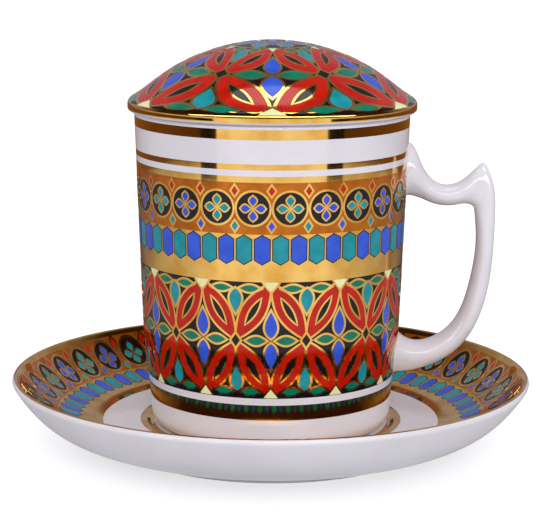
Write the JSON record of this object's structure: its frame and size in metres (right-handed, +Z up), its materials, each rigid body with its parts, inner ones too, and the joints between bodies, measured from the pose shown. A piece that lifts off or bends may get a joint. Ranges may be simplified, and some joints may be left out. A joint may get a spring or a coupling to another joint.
{
  "type": "lidded tea mug with saucer",
  "caption": "Tall, slightly tapered porcelain tea mug with a spurred handle, a domed lift-off lid and a deep saucer with a well, banded in enamel and gold.",
  "frame": {"origin": "on the table, under the centre of the saucer's foot ring, with the mug standing in the well and the lid on the mug", "axes": "+Z up along the common axis of saucer, mug and lid; +X from that axis through the mug's handle"},
  "size_m": [0.16, 0.16, 0.1252],
  "materials": {
    "white_glaze": "clear gloss glaze on white porcelain",
    "gold_lustre": "burnished bright gold film, fired on the glaze",
    "overglaze_enamel": "glossy coloured enamels, fired on the glaze"
  },
  "bodies": {
    "saucer": {"saucer": "white_glaze"},
    "mug": {"mug_body": "white_glaze", "handle": "white_glaze"},
    "lid": {"lid": "white_glaze"}
  },
  "joints": [
    {"name": "mug_lift", "type": "slide", "parent": "saucer", "child": "mug", "axis": [0, 0, 1], "range_m": [0, 0.05]},
    {"name": "lid_lift", "type": "slide", "parent": "mug", "child": "lid", "axis": [0, 0, 1], "range_m": [0, 0.05]}
  ]
}
